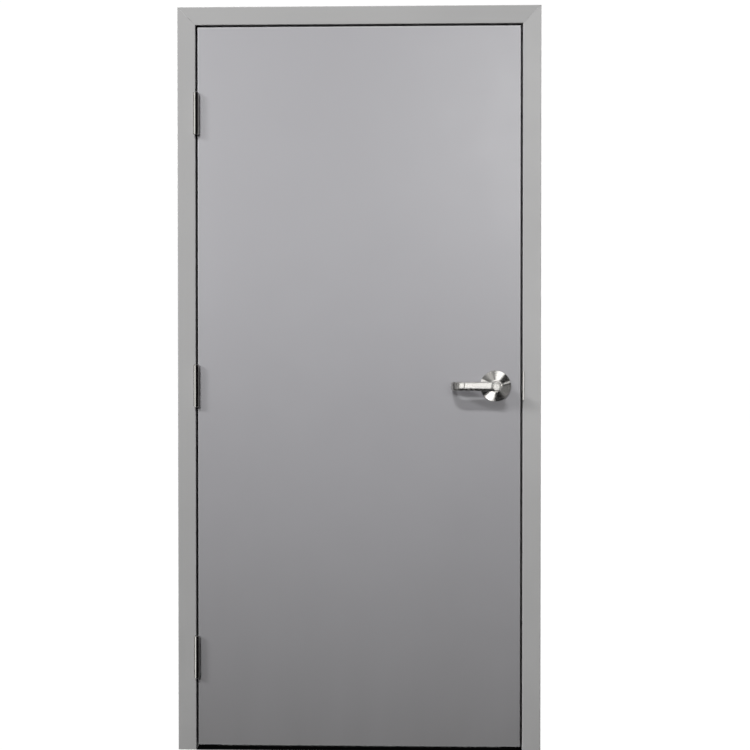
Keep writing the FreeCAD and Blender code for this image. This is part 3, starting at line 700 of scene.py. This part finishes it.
def makeLever(name, look, body, outward, face, keyed):
    low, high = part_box(name)
    reach = spindle.x - low.x
    clearance, projection = sorted((abs(low.y - face), abs(high.y - face)))
    centre = Vector((spindle.x, face, spindle.z))
    rings = []
    for along, off, turn, height, inset in barStations(look, reach, projection):
        ring = []
        for across, tall in barSection(look, height, inset):
            ring.append(centre - sideways * (along + across * math.sin(turn))
                        + outward * (off + across * math.cos(turn)) + upward * tall)
        rings.append(ring)
    bar = bmesh.new()
    lofted(bar, rings)
    piece = meshObject(name.replace("_lever", "_cast_lever"), bar)
    hub = bmesh.new()
    turned(hub, hubProfile(look, clearance, projection), centre, outward, look["hubSteps"])
    tools = [(meshObject(name + "_hub_tool", hub), "UNION")]
    if keyed:
        seat = bmesh.new()
        turned(seat, seatProfile(look, projection), centre, outward, look["hubSteps"])
        tools.append((meshObject(name + "_seat_tool", seat), "DIFFERENCE"))
    combine(piece, tools)
    return dressPiece(piece, finishes["satin_trim"], body, [name], look["sharpAngle"])


levers = [makeLever("outside_lever", lever, "outside_handle", -inward, pullFace, True),
          makeLever("inside_lever", lever, "inside_handle", inward, pushFace, False)]
print("levers lofted")


# rubber buttons on the stop, domed where the leaf lands
silencer = {
    "shoulder": 0.62,         # share of the depth
    "lipRound": 0.0012,
    "dome": 0.0005,
    "domeShare": 0.72,        # share of the radius
    "domeRound": 0.0008,
    "steps": 40,
}


def makeSilencer(name, look):
    low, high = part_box(name)
    radius = (high.x - low.x) / 2
    depth = high.y - low.y
    foot = Vector(((low.x + high.x) / 2, high.y, (low.z + high.z) / 2))
    corners = [
        (0.0, 0.0, 0.0),
        (radius, 0.0, 0.0),
        (radius, depth * look["shoulder"], look["lipRound"]),
        (radius * look["domeShare"], depth - look["dome"], look["domeRound"]),
        (0.0, depth, 0.0),
    ]
    shape = bmesh.new()
    turned(shape, rounded(corners), foot, -inward, look["steps"])
    piece = meshObject(name.replace("_silencer", "_rubber_button"), shape)
    return dressPiece(piece, finishes["grey_rubber"], "frame", [name])


for level in hingeNames:
    makeSilencer(level + "_silencer", silencer)
print("silencers turned")


# flat-head screws with a crossed recess
screw = {
    "radius": 0.0052,
    "proud": 0.00045,
    "rimShare": 0.35,         # where the bevel starts, as a share of what stands proud
    "sunk": 0.0004,
    "bevel": 0.0006,
    "armLength": 0.0028,
    "armWidth": 0.00125,
    "recessFloor": 0.00006,
    "recessTaper": 0.82,
    "steps": 36,
}


def addScrew(shape, look, centre, outward, turn, scale=1.0):
    side = outward.orthogonal().normalized()
    across = side * math.cos(turn) + outward.cross(side) * math.sin(turn)
    tall = outward.cross(across)

    def ringAt(radius, height):
        row = []
        for i in range(look["steps"]):
            angle = 2 * math.pi * i / look["steps"]
            spoke = across * math.cos(angle) + tall * math.sin(angle)
            row.append(shape.verts.new(centre + spoke * radius * scale + outward * height))
        return row

    # three corners of each arm, a quarter turn on for the next
    def crossAt(shrink, height):
        reach = look["armLength"] * scale * shrink
        half = look["armWidth"] * scale * shrink / 2
        row = []
        wide, long = across, tall
        for arm in range(4):
            for x, y in ((half, half), (half, reach), (-half, reach)):
                row.append(shape.verts.new(centre + wide * x + long * y + outward * height))
            wide, long = long, -wide
        return row

    foot = ringAt(look["radius"], -look["sunk"])
    rim = ringAt(look["radius"], look["proud"] * look["rimShare"])
    top = ringAt(look["radius"] - look["bevel"], look["proud"])
    mouth = crossAt(1.0, look["proud"])
    floor = crossAt(look["recessTaper"], look["recessFloor"])
    joinRows(shape, foot, rim)
    joinRows(shape, rim, top)
    joinRows(shape, mouth, floor)
    shape.faces.new(foot)
    shape.faces.new(floor)
    loops = []
    for row in (top, mouth):
        for i, corner in enumerate(row):
            ends = (corner, row[(i + 1) % len(row)])
            loops.append(shape.edges.get(ends) or shape.edges.new(ends))
    bmesh.ops.triangle_fill(shape, edges=loops, use_beauty=True, normal=outward)


hingeScrews = {
    # each screw's rise from the middle of the plate, shift along its depth, and turn
    "spots": ((-0.0445, 0.0075, 0.35), (-0.0170, -0.0085, 1.1),
              (0.0170, -0.0085, 0.8), (0.0445, 0.0075, 0.15)),
    "turnStep": 0.4,          # from one hinge to the next
    "squareTo": 0.99,         # how squarely the plate's open face looks outward
}


def makeHingeScrews(look, kind, body, outward):
    shape = bmesh.new()
    for row, level in enumerate(hingeNames):
        node = level + "_hinge_" + kind
        low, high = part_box(node)
        # the plate's open face is the largest flat one that looks at the other leaf
        flats = [face for face in parts[node].data.polygons if face.normal.dot(outward) > look["squareTo"]]
        wall = max(flats, key=lambda face: face.area).center
        middle = (low.z + high.z) / 2
        depth = (high.y + pullFace) / 2
        for rise, shift, turn in look["spots"]:
            centre = Vector((wall.x, depth + shift, middle + rise))
            addScrew(shape, screw, centre, outward, turn + row * look["turnStep"])
    piece = meshObject("hinge_screws_" + kind, shape)
    return dressPiece(piece, finishes["hinge_steel"], body)


makeHingeScrews(hingeScrews, "frame_leaf", "frame", sideways)
makeHingeScrews(hingeScrews, "door_leaf", "leaf", -sideways)

# the latch plate leans with the bevel of the lock edge, and stands a little proud of it
latchScrews = {"rise": 0.0230, "bevelDrop": 0.0028, "proud": 0.00013, "turn": 0.5, "scale": 0.66}
strikeScrews = {"rise": 0.0525, "turn": 0.9, "scale": 0.9}
latchLean = Vector((pushFace - pullFace, latchScrews["bevelDrop"], 0.0)).normalized()
latchFace = leafHigh.x + latchScrews["proud"] - latchScrews["bevelDrop"] / 2
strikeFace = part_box("strike_plate")[0].x


def makeLockScrews(name, look, face, outward, body):
    shape = bmesh.new()
    for i, way in enumerate((-1, 1)):
        centre = Vector((face, (pullFace + pushFace) / 2, spindle.z + way * look["rise"]))
        addScrew(shape, screw, centre, outward, look["turn"] + i, look["scale"])
    return dressPiece(meshObject(name, shape), finishes["satin_trim"], body)


makeLockScrews("latch_plate_screws", latchScrews, latchFace, latchLean, "leaf")
makeLockScrews("strike_plate_screws", strikeScrews, strikeFace, -sideways, "frame")
print("screws set")


# spot welds that hold the anchors and reinforcements in the jambs
spotWeld = {
    # radius and height of the dimple, the ring round it and its foot
    "profile": ((0.0, 0.0001), (0.0014, 0.0001), (0.0023, 0.00045),
                (0.0030, 0.0004), (0.0036, -0.0002), (0.0, -0.0002)),
    "steps": 20,
    "sharpAngle": 60.0,
    "anchorSheet": 0.0012,
    "floorSheet": 0.0020,
    # where they sit, in shares of the piece's depth and of its height
    "onReinforcement": ((0.22, 0.5, 0.78), (0.12, 0.88)),
    "onWallAnchor": ((0.3, 0.7), (0.25, 0.75)),
    "onFloorAnchor": ((0.28, 0.72), (0.75,)),
}


def makeSpotWelds(look):
    shape = bmesh.new()

    def addWelds(node, face, way, shares):
        low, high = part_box(node)
        for depth in shares[0]:
            for rise in shares[1]:
                centre = Vector((face, low.y + (high.y - low.y) * depth, low.z + (high.z - low.z) * rise))
                turned(shape, look["profile"], centre, sideways * way, look["steps"])

    for level in hingeNames:
        node = level + "_hinge_reinforcement"
        addWelds(node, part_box(node)[0].x, -1, look["onReinforcement"])
    # an anchor's web lies on the doorway side of its box
    for side, way, webSide in (("hinge_side_", -1, 1), ("strike_side_", 1, 0)):
        for level in hingeNames:
            node = side + level + "_wall_anchor"
            addWelds(node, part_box(node)[webSide].x + way * look["anchorSheet"], way, look["onWallAnchor"])
        node = side + "floor_anchor"
        addWelds(node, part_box(node)[webSide].x + way * look["floorSheet"], way, look["onFloorAnchor"])
    piece = meshObject("jamb_spot_welds", shape)
    return dressPiece(piece, finishes["primed_steel"], "frame", (), look["sharpAngle"])


makeSpotWelds(spotWeld)
print("spot welds added")


# camera where the photograph was taken from
camera = {
    "at": (0.6382, -4.073, 1.1100),
    "pitch": 89.205,
    "turn": 1.648,
    "lens": 68.74,
    "sensor": 36.0,
    "farthest": 300.0,
}
eye = bpy.data.cameras.new("doorCamera")
eye.lens = camera["lens"]
eye.sensor_width = camera["sensor"]
eye.clip_end = camera["farthest"]
viewer = bpy.data.objects.new("doorCamera", eye)
viewer.location = camera["at"]
viewer.rotation_euler = (math.radians(camera["pitch"]), 0.0, math.radians(camera["turn"]))
bpy.context.scene.collection.objects.link(viewer)
bpy.context.scene.camera = viewer
bpy.context.scene.view_settings.view_transform = "Standard"

# pale floor that is dim only under and against the door, and runs out into the backdrop
floorLook = {
    "rings": (0.0, 1.0, 4.0, 15.0, 60.0),
    "steps": 24,
    "colour": (0.004, 0.004, 0.004, 1.0),
    "fleck": (0.006, 0.006, 0.006, 1.0),
    "fleckGrain": 180.0,
    "roughness": 0.8,
    "reach": 0.06,            # how far a thing overhead dims the floor
    "samples": 16,
    "shut": 0.30,
    "clear": 0.60,
    "shutDoorway": 0.70,      # the doorway itself is dimmer
    "clearDoorway": 0.86,
    "fade": 0.006,
    "past": 0.024,            # how far the dim doorway runs on behind the leaf
    "glow": 1.02,
}


def makeFloor(look):
    shape = bmesh.new()
    centre = Vector(((cadLow.x + cadHigh.x) / 2, 0.0, 0.0))
    turned(shape, [(radius, 0.0) for radius in look["rings"]], centre, upward, look["steps"])
    floor = meshObject("studio_floor", shape)
    finish, tree, shader, place = startFinish("paleFloor", gloss=0.0)
    # the doorway: as wide as the leaf, from its pull face to a little past its push face
    axes = split(tree, place)
    fromMiddle = apart(tree, axes["X"], (leafLow.x + leafHigh.x) / 2)
    underLeaf = maths(tree, "LESS_THAN", fromMiddle, (leafHigh.x - leafLow.x) / 2 + look["fade"])
    behind = spread(tree, axes["Y"], pullFace - look["fade"], pullFace)
    before = spread(tree, axes["Y"], pushFace + look["past"], pushFace + look["past"] / 2)
    doorway = product(tree, behind, before, underLeaf)
    shut = spread(tree, doorway, 0.0, 1.0, look["shut"], look["shutDoorway"])
    clear = spread(tree, doorway, 0.0, 1.0, look["clear"], look["clearDoorway"])
    # painted contact shade: the floor's glow fades where something stands near it
    reach = {"Distance": look["reach"]}
    cover = addNode(tree, "ShaderNodeAmbientOcclusion", reach, samples=look["samples"]).outputs["AO"]
    glow = spread(tree, cover, shut, clear, 0.0, look["glow"])
    flecks = grain(tree, place, look["fleckGrain"], detail=3.0)
    tree.links.new(mixed(tree, flecks, look["colour"], look["fleck"]), shader.inputs["Base Color"])
    tree.links.new(glow, shader.inputs["Emission Strength"])
    shader.inputs["Emission Color"].default_value = (1.0, 1.0, 1.0, 1.0)
    shader.inputs["Roughness"].default_value = look["roughness"]
    floor.data.materials.append(finish)
    floor.visible_diffuse = False
    floor.visible_glossy = False


makeFloor(floorLook)

# pieces that some of the lights are kept for
smallTrim = [parts["key_cylinder"], parts["strike_plate"]]
trim = roses + levers + smallTrim
hingePieces = []
for kind in ("frame_leaf", "door_leaf", "pin"):
    hingePieces += [parts[level + "_hinge_" + kind] for level in hingeNames]
strikeSide = [parts["strike_jamb"], parts["strike_box"], parts["strike_side_floor_anchor"]]
strikeSide += [parts["strike_side_" + level + "_wall_anchor"] for level in hingeNames]

# what the lights are aimed at
midDoor = (0.45, 0.0, 1.10)
midRose = (0.86, -0.1, 1.02)
midBar = (0.80, -0.1, 1.00)

# soft studio light in front, overhead, at the far left and behind, and a wash on the strike side
softboxes = {
    "frontBank": {"at": (-1.20, -8.0, 3.60), "to": midDoor, "size": (2.0, 0.7), "watts": 265.0},
    "ceilingRow": {"at": (-1.60, -9.0, 9.40), "to": midDoor, "size": (2.4, 0.6), "watts": 880.0},
    "leftBox": {"at": (-13.0, -8.7, 8.60), "to": midDoor, "size": (4.0, 1.5), "watts": 1580.0},
    "backBox": {"at": (0.45, 4.2, 3.00), "to": (0.45, 0.0, 1.00), "size": (3.0, 2.0), "watts": 130.0,
                "shines": True},       # shows in gloss as well
    "rightBack": {"at": (4.40, 1.8, 2.40), "to": midDoor, "size": (1.6, 2.2), "watts": 110.0,
                  "shines": True},
    "leftBack": {"at": (-3.50, 1.8, 2.40), "to": midDoor, "size": (1.6, 2.2), "watts": 60.0,
                 "shines": True},
    "rightWash": {"at": (5.50, -0.6, 1.90), "to": (0.98, 0.0, 1.05), "size": (1.4, 2.4), "watts": 70.0,
                  "on": strikeSide},
}
# cards that only show in the gloss of the leaf, the strike jamb and the hinges
cards = {
    "sheenRight": {"at": (3.20, -6.6, 2.85), "to": (0.60, 0.0, 1.60), "size": (4.0, 1.0), "watts": 400.0,
                   "on": [parts["pull_skin"], parts["strike_jamb"]]},
    "sheenLeft": {"at": (-3.20, -6.6, 2.70), "to": (0.20, 0.0, 1.50), "size": (2.8, 1.1), "watts": 300.0,
                  "on": [parts["pull_skin"]]},
    "hingeCard": {"at": (-1.20, -0.94, 1.05), "to": (0.02, -0.08, 1.05), "size": (1.6, 2.6), "watts": 20.0,
                  "on": hingePieces},
}
# cards for the gloss of the trim, each with a second one behind the leaf for the inside trim
trimCards = {
    "barCard": {"at": (0.95, -4.7, 1.10), "to": (0.86, 0.0, 1.00), "size": (0.6, 2.0), "watts": 11.0,
                "on": trim},
    "tipCard": {"at": (-1.60, -1.4, 1.00), "to": (0.73, -0.1, 1.00), "size": (1.0, 2.0), "watts": 2.0,
                "on": trim},
    "overCard": {"at": (1.55, -0.75, 2.80), "to": midRose, "size": (1.7, 0.8), "watts": 10.0, "on": trim},
    "underCard": {"at": (0.45, -0.50, 0.03), "to": midRose, "size": (0.8, 0.6), "watts": 4.5, "on": roses},
    "skyCard": {"at": (0.14, -0.65, 2.57), "to": midRose, "size": (1.0, 0.8), "watts": 0.9, "on": roses},
    "leftWing": {"at": (-0.55, -0.58, 1.59), "to": midRose, "size": (0.35, 0.35), "watts": 1.0,
                 "on": roses},
    "rightWing": {"at": (2.33, -0.58, 1.41), "to": midRose, "size": (0.25, 0.25), "watts": 0.45,
                  "on": roses},
    "sideCard": {"at": (1.90, -0.60, 0.55), "to": midRose, "size": (1.2, 1.2), "watts": 1.0, "on": roses},
    "fillCard": {"at": (1.20, -5.2, 3.00), "to": midRose, "size": (9.0, 4.0), "watts": 12.0, "on": roses},
    "leverFill": {"at": (1.20, -5.2, 3.00), "to": midRose, "size": (10.0, 5.0), "watts": 45.0,
                  "on": levers + smallTrim},
    "lowLeft": {"at": (-0.10, -1.45, 0.60), "to": midBar, "size": (0.9, 0.8), "watts": 0.9, "on": levers},
    "lowRight": {"at": (1.70, -1.45, 0.60), "to": midBar, "size": (0.9, 0.8), "watts": 0.9, "on": levers},
}


# a light with pieces under "on" lights only those; side -1 hangs it behind the leaf
def hangLight(name, look, side=1):
    lamp = bpy.data.lights.new(name, "AREA")
    lamp.shape = "RECTANGLE"
    lamp.size, lamp.size_y = look["size"]
    lamp.energy = look["watts"]
    holder = bpy.data.objects.new(name, lamp)
    mirror = Vector((1, side, 1))
    holder.location = Vector(look["at"]) * mirror
    aim = Vector(look["to"]) * mirror - holder.location
    holder.rotation_euler = aim.to_track_quat("-Z", "Y").to_euler()
    holder.visible_camera = False
    bpy.context.scene.collection.objects.link(holder)
    if "on" in look:
        group = bpy.data.collections.new(name)
        for piece in look["on"]:
            group.objects.link(piece)
        holder.light_linking.receiver_collection = group
    return holder


for name, look in softboxes.items():
    hangLight(name, look).visible_glossy = look.get("shines", False)
for name, look in cards.items():
    hangLight(name, look).visible_diffuse = False
for name, look in trimCards.items():
    for side in (1, -1):
        hangLight(name, look, side).visible_diffuse = False

# glow of the room on each side; a span gives the directions over which it changes
studio = {
    "below": 0.016,
    "level": 0.03,
    "lowSpan": (-0.25, 0.05),
    "above": 0.34,
    "highSpan": (0.2, 0.8),
    "rightShare": 0.15,
    "rightSpan": (-0.3, 0.4),
    "behind": 0.26,
    "behindSpan": (0.1, 0.6),
    "backdrop": 1.02,
}


def makeWorld(look):
    world = bpy.data.worlds.new("studio")
    bpy.context.scene.world = world
    world.use_nodes = True
    tree = world.node_tree
    tree.nodes.clear()
    ways = split(tree, addNode(tree, "ShaderNodeTexCoord").outputs["Generated"])
    lower = spread(tree, ways["Z"], *look["lowSpan"], look["below"], look["level"])
    upper = spread(tree, ways["Z"], *look["highSpan"], 0.0, look["above"] - look["level"])
    across = spread(tree, ways["X"], *look["rightSpan"], 1.0, look["rightShare"])
    behind = spread(tree, ways["Y"], *look["behindSpan"], 0.0, look["behind"])
    strength = maths(tree, "ADD", product(tree, maths(tree, "ADD", lower, upper), across), behind)
    white = (1.0, 1.0, 1.0, 1.0)
    soft = addNode(tree, "ShaderNodeBackground", {"Color": white, "Strength": strength}).outputs[0]
    plain = addNode(tree, "ShaderNodeBackground", {"Color": white, "Strength": look["backdrop"]}).outputs[0]
    seen = addNode(tree, "ShaderNodeLightPath").outputs["Is Camera Ray"]
    both = addNode(tree, "ShaderNodeMixShader", {0: seen, 1: soft, 2: plain}).outputs[0]
    addNode(tree, "ShaderNodeOutputWorld", {"Surface": both})


makeWorld(studio)
print("camera and studio set")
